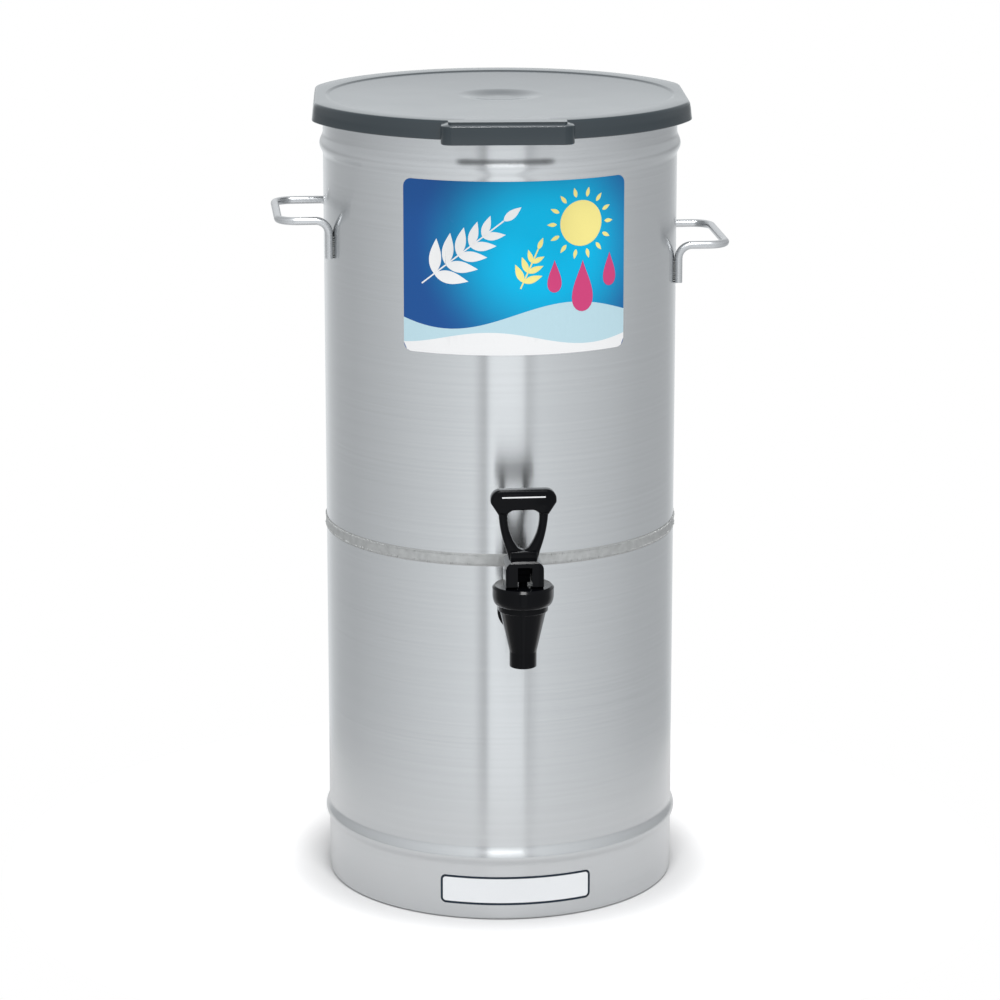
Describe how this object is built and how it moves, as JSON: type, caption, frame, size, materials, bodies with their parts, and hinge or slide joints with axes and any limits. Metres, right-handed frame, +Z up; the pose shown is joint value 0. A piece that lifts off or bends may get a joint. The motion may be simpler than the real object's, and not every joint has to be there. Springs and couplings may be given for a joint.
{
  "type": "iced tea dispenser",
  "caption": "Tall round stainless drinks dispenser with a lift-off lid, two wire handles and a self-closing lever tap at the front.",
  "frame": {"origin": "on the body's axis, at the bottom of the foot that it stands on", "axes": "+Z up along the body, -Y towards the tap and the label, +X to the right seen from the front"},
  "size_m": [0.327, 0.3308, 0.5797],
  "materials": {
    "steel_sheet": "vertical brushed sheet",
    "weld": "rough blasted weld",
    "handle_wire": "satin drawn wire",
    "lid_plastic": "semi gloss moulded",
    "label_print": "gloss printed film",
    "plate_print": "gloss white film",
    "tap_plastic": "polished moulded",
    "stem_plastic": "moulded",
    "tag_print": "printed tag",
    "silicone": "soft translucent white",
    "spring_steel": "drawn wire",
    "pin_steel": "ground",
    "nut_plastic": "moulded"
  },
  "bodies": {
    "tank": {"tank_shell": "steel_sheet", "tank_pan": "steel_sheet", "stand_shell": "steel_sheet", "seam_weld": "weld", "left_handle": "handle_wire", "right_handle": "handle_wire", "front_label": "label_print", "name_plate": "plate_print", "faucet_body": "tap_plastic", "bonnet": "tap_plastic", "bonnet_seal": "silicone", "return_spring": "spring_steel", "outer_gasket": "silicone", "inner_gasket": "silicone", "inner_washer": "pin_steel", "shank_nut": "nut_plastic"},
    "lid": {"lid": "lid_plastic"},
    "stem": {"valve_stem": "stem_plastic", "seat_cup": "silicone"},
    "lever": {"lever": "tap_plastic", "lever_pin": "pin_steel", "lever_tag": "tag_print"}
  },
  "joints": [
    {"name": "lid_lift", "type": "slide", "parent": "tank", "child": "lid", "axis": [0, 0, 1], "range_m": [0, 0.12]},
    {"name": "stem_lift", "type": "slide", "parent": "tank", "child": "stem", "axis": [0, 0, 1], "range_m": [0, 0.0039], "stiffness_N_per_m": 500, "springref_m": -0.006, "deforming": ["return_spring"]},
    {"name": "lever_tilt", "type": "hinge", "parent": "stem", "child": "lever", "pos_m": [0, -0.167, 0.2699], "axis": [1, 0, 0], "range_deg": [0, 28]}
  ],
  "couplings": [
    {"joint": "lever_tilt", "follows": "stem_lift", "rad_per_m": 125}
  ]
}
